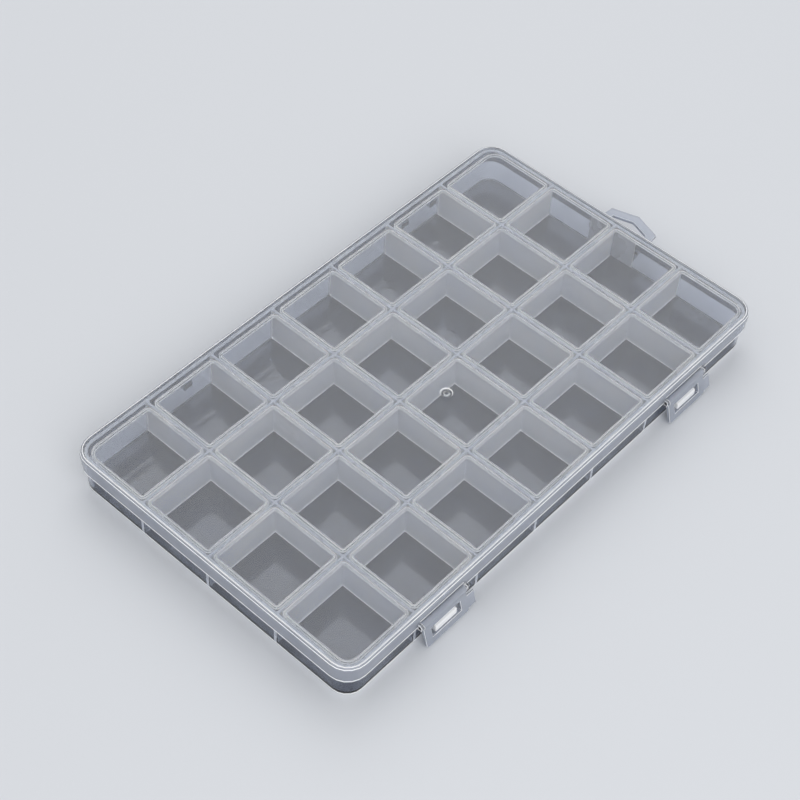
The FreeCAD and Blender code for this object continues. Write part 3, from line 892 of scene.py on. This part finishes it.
class STORAGEBOX_OT_stage(bpy.types.Operator):
    """Pale paper floor, soft lamps, sky and the camera"""
    bl_idname = "storage_box.stage"
    bl_label = "Stage"

    def execute(self, context):
        scene = context.scene
        scene.view_settings.view_transform = "Standard"
        scene.cycles.max_bounces = LIGHT_BOUNCES
        scene.cycles.transmission_bounces = LIGHT_BOUNCES
        scene.cycles.transparent_max_bounces = LIGHT_BOUNCES
        self.floor(scene)
        self.sky(scene)
        settings = scene.stage_settings
        self.lamp("key_lamp", settings.key_place, settings.lamp_size, settings.key)
        self.lamp("fill_lamp", settings.fill_place, settings.lamp_size, settings.fill)
        self.camera(scene)
        return {"FINISHED"}

    @staticmethod
    def floor(scene):
        """Round sheet of paper: rings of growing radius about the origin, just under the box."""
        ring = circle(np.linspace(0, 2 * np.pi, PAPER_POINTS, endpoint=False))
        loops = [lift(ring * radius, -ROOT) for radius in PAPER_RADII]
        points, faces, _ = woven(loops, [WALL] * (len(loops) - 1))
        mesh = bpy.data.meshes.new("floor")
        mesh.from_pydata(points.tolist(), [], faces[:, ::-1].tolist())
        material = bpy.data.materials.new("matt paper")
        tree = emptied(material)
        place = add_node(tree, "ShaderNodeTexCoord").outputs["Object"]
        grain = add_node(tree, "ShaderNodeTexNoise", {"Vector": place, "Scale": 1 / PAPER_GRAIN, "Detail": 2.0})
        bump = add_node(tree, "ShaderNodeBump", {"Height": grain.outputs["Fac"], "Strength": 0.1,
                                                 "Distance": PAPER_DEPTH})
        surface = add_node(tree, "ShaderNodeBsdfPrincipled", {
            "Base Color": (*scene.box_colours.floor, 1.0), "Roughness": 0.9, "Normal": bump.outputs["Normal"]})
        add_node(tree, "ShaderNodeOutputMaterial", {"Surface": surface.outputs["BSDF"]})
        mesh.materials.append(material)
        floor = bpy.data.objects.new("floor", mesh)
        scene.collection.objects.link(floor)

    @staticmethod
    def sky(scene):
        """Even pale light; what the camera, gloss and clear plastic see of it is the backdrop's colour."""
        world = bpy.data.worlds.new("studio")
        scene.world = world
        tree = emptied(world)
        rays = add_node(tree, "ShaderNodeLightPath").outputs
        seen = add_node(tree, "ShaderNodeMath", {0: rays["Is Camera Ray"], 1: rays["Is Glossy Ray"]},
                        operation="MAXIMUM")
        through = add_node(tree, "ShaderNodeMath", {0: seen.outputs["Value"], 1: rays["Is Transmission Ray"]},
                           operation="MAXIMUM")
        light = add_node(tree, "ShaderNodeBackground", {"Color": (1.0, 1.0, 1.0, 1.0),
                                                        "Strength": scene.stage_settings.sky})
        shown = add_node(tree, "ShaderNodeBackground", {"Color": (*scene.box_colours.backdrop, 1.0)})
        mixed = add_node(tree, "ShaderNodeMixShader", {0: through.outputs["Value"], 1: light.outputs["Background"],
                                                       2: shown.outputs["Background"]})
        add_node(tree, "ShaderNodeOutputWorld", {"Surface": mixed.outputs["Shader"]})

    @staticmethod
    def lamp(name, place, size, power):
        """Square soft lamp that faces the box."""
        data = bpy.data.lights.new(name, "AREA")
        data.shape = "SQUARE"
        data.size = size
        data.energy = power
        lamp = bpy.data.objects.new(name, data)
        lamp.location = place
        lamp.rotation_mode = "QUATERNION"
        lamp.rotation_quaternion = (-Vector(place)).to_track_quat("-Z", "Y")
        bpy.context.scene.collection.objects.link(lamp)

    @staticmethod
    def camera(scene):
        """Camera at the photograph's place, with its small roll."""
        settings = scene.stage_settings
        data = bpy.data.cameras.new("camera")
        data.lens = settings.lens
        data.sensor_width = settings.sensor
        data.clip_start = CLIP_START
        camera = bpy.data.objects.new("camera", data)
        place = Vector(settings.camera_place)
        look = (Vector(settings.camera_aim) - place).normalized()
        level = look.cross(Vector((0, 0, 1))).normalized()
        up = level.cross(look)
        roll = settings.camera_roll
        right = level * math.cos(roll) + up * math.sin(roll)
        turn = Matrix((right, right.cross(look), -look)).transposed()
        camera.matrix_world = Matrix.Translation(place) @ turn.to_4x4()
        scene.collection.objects.link(camera)
        scene.camera = camera


class STORAGEBOX_PT_panel(bpy.types.Panel):
    """Lists the pieces and the values that can be changed"""
    bl_idname = "STORAGEBOX_PT_panel"
    bl_label = "Storage Box"
    bl_space_type = "VIEW_3D"
    bl_region_type = "UI"
    bl_category = "Storage Box"

    def draw(self, context):
        for operator in OPERATORS:
            self.layout.operator(operator.bl_idname)
        for name, group in GROUPS.items():
            values = getattr(context.scene, name)
            for field in group.__annotations__:
                self.layout.prop(values, field)


GROUPS = {"box_sizes": BoxSizes, "fitting_sizes": FittingSizes, "box_colours": BoxColours,
          "stage_settings": StageSettings}
OPERATORS = [STORAGEBOX_OT_tray, STORAGEBOX_OT_lid, STORAGEBOX_OT_latches, STORAGEBOX_OT_hang_tab,
             STORAGEBOX_OT_hinge_pins, STORAGEBOX_OT_stage]


def register():
    """Adds the classes and their values to Blender."""
    for kind in [*GROUPS.values(), *OPERATORS, STORAGEBOX_PT_panel]:
        bpy.utils.register_class(kind)
    for name, group in GROUPS.items():
        setattr(bpy.types.Scene, name, bpy.props.PointerProperty(type=group))


def unregister():
    """Takes them away again."""
    for name in GROUPS:
        delattr(bpy.types.Scene, name)
    for kind in [STORAGEBOX_PT_panel, *reversed(OPERATORS), *reversed(list(GROUPS.values()))]:
        bpy.utils.unregister_class(kind)


def main():
    """Makes the pieces in order, then the stage."""
    register()
    bpy.ops.storage_box.tray()
    bpy.ops.storage_box.lid()
    bpy.ops.storage_box.latches()
    bpy.ops.storage_box.hang_tab()
    bpy.ops.storage_box.hinge_pins()
    bpy.ops.storage_box.stage()


if __name__ == "__main__":
    main()
